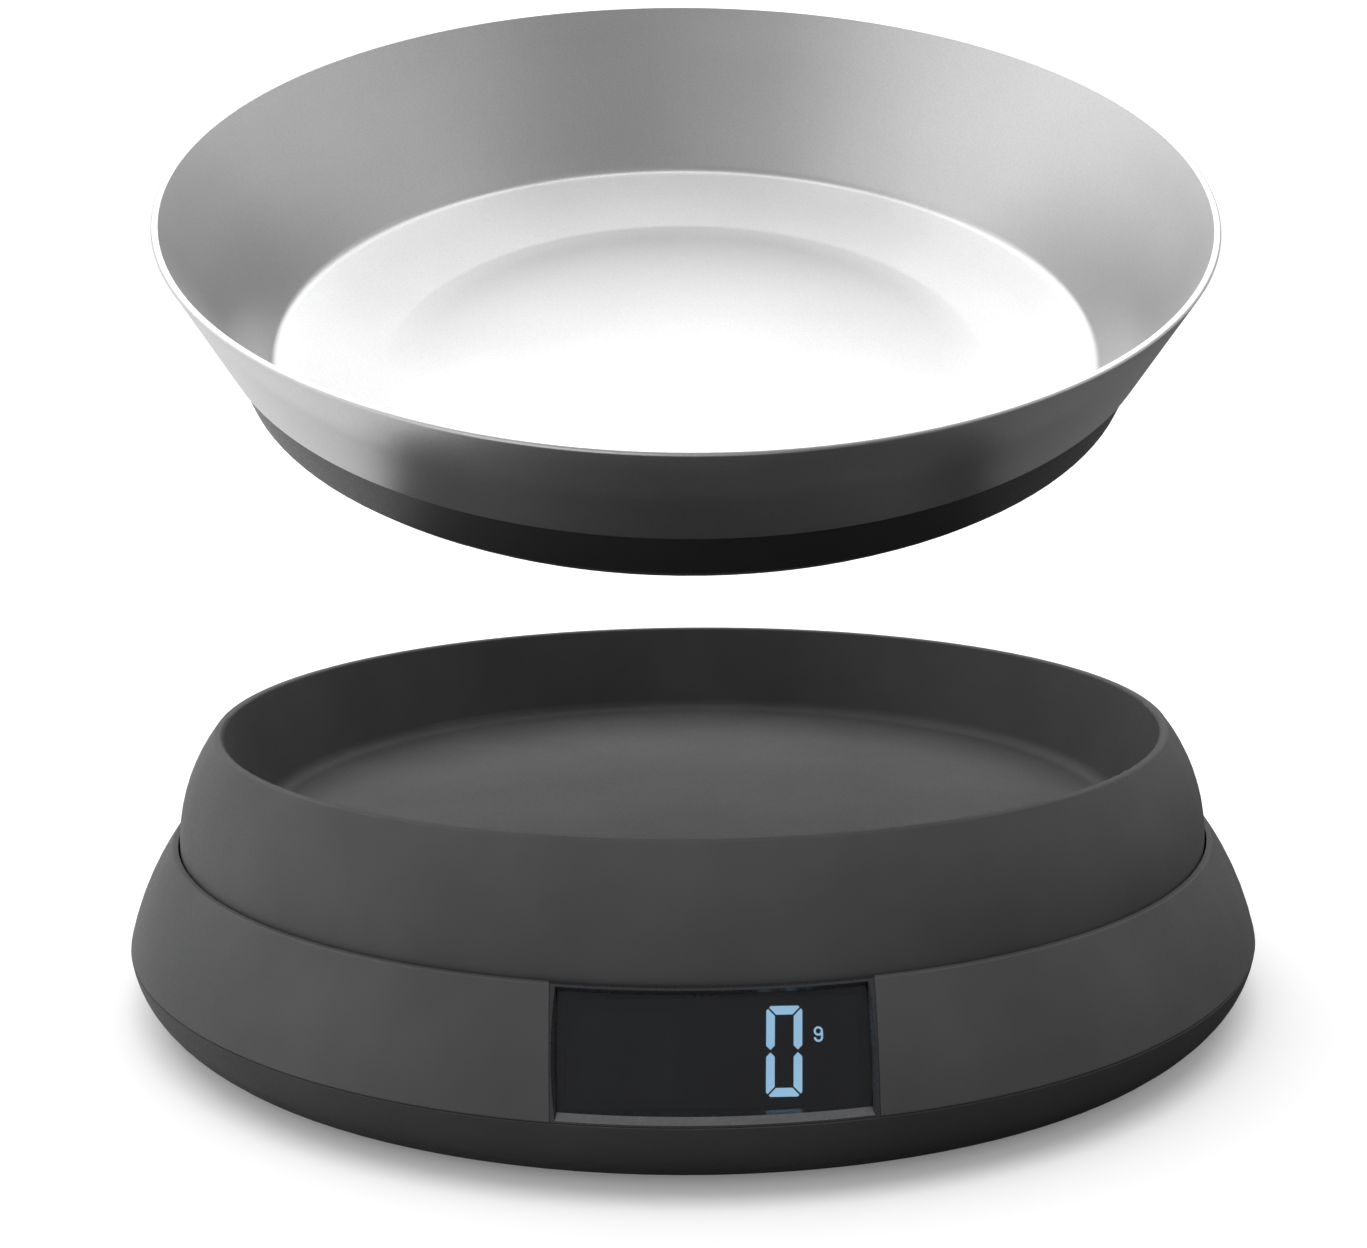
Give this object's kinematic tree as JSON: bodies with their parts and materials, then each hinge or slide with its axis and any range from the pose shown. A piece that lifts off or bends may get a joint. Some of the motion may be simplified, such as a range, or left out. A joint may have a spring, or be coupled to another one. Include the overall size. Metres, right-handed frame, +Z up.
{
  "type": "kitchen scale",
  "caption": "Round digital kitchen scale with a recessed weighing dish, a curved front display and a lift-off steel bowl in a black plastic cup.",
  "frame": {"origin": "on the table under the centre of the round base", "axes": "+Z up, the display faces -Y, +X to the right of the display"},
  "size_m": [0.23, 0.23, 0.2079],
  "materials": {
    "charcoal_plastic": "fine matt texture",
    "black_plastic": "fine matt texture",
    "bowl_plastic": "fine matt texture",
    "satin_steel": "satin",
    "rubber": "matt",
    "bezel_plastic": "satin black",
    "display_glass": "gloss, dark tint",
    "clear_film": "clear",
    "display_black": "gloss",
    "display_lit": "lit",
    "white_plastic": "satin",
    "board": "solder mask",
    "chip": "matt",
    "aluminium": "milled",
    "gauge_seal": "silicone sealant",
    "zinc_steel": "zinc plated",
    "plated_spring": "nickel plated",
    "cell_wrap": "plain wrap",
    "wire_white": "PVC",
    "wire_red": "PVC"
  },
  "bodies": {
    "base": {"base_cover": "black_plastic", "main_housing": "charcoal_plastic", "rubber_feet": "rubber", "cover_screws": "zinc_steel", "display_bezel": "bezel_plastic", "display_lens": "display_glass", "touch_film": "clear_film", "lcd_panel": "display_black", "lcd_segments": "display_lit", "backlight": "white_plastic", "main_board": "board", "board_chips": "chip", "load_cell": "aluminium", "strain_gauges": "gauge_seal", "lower_spacer": "aluminium", "lower_screws": "zinc_steel", "overload_stop": "zinc_steel", "battery_cells": "cell_wrap", "battery_contacts": "plated_spring", "contact_springs": "plated_spring", "unit_switch": "chip", "switch_board": "board", "load_cell_wires": "wire_white", "battery_wires": "wire_red"},
    "platform": {"weighing_platform": "charcoal_plastic", "platform_carrier": "zinc_steel", "carrier_screws": "zinc_steel", "upper_spacer": "aluminium", "upper_screws": "zinc_steel"},
    "bowl": {"bowl_liner": "satin_steel", "bowl_skirt": "satin_steel", "bowl_cup": "bowl_plastic", "bowl_foot_ring": "rubber"},
    "door": {"battery_door": "black_plastic"},
    "button": {"unit_button": "black_plastic"}
  },
  "joints": [
    {"name": "platform_press", "type": "slide", "parent": "base", "child": "platform", "axis": [0, 0, 1], "range_m": [-0.001, 0], "stiffness_N_per_m": 50000, "deforming": ["load_cell"]},
    {"name": "bowl_turn", "type": "hinge", "parent": "platform", "child": "bowl", "pos_m": [0, -0.1786, 0.1288], "axis": [1, 0, 0], "range_deg": [-26.45, 153.55]},
    {"name": "door_hinge", "type": "hinge", "parent": "base", "child": "door", "pos_m": [0, 0.0687, 0.0022], "axis": [1, 0, 0], "range_deg": [0, 100]},
    {"name": "button_press", "type": "slide", "parent": "base", "child": "button", "axis": [0, 0, 1], "range_m": [0, 0.0008], "stiffness_N_per_m": 2500}
  ]
}
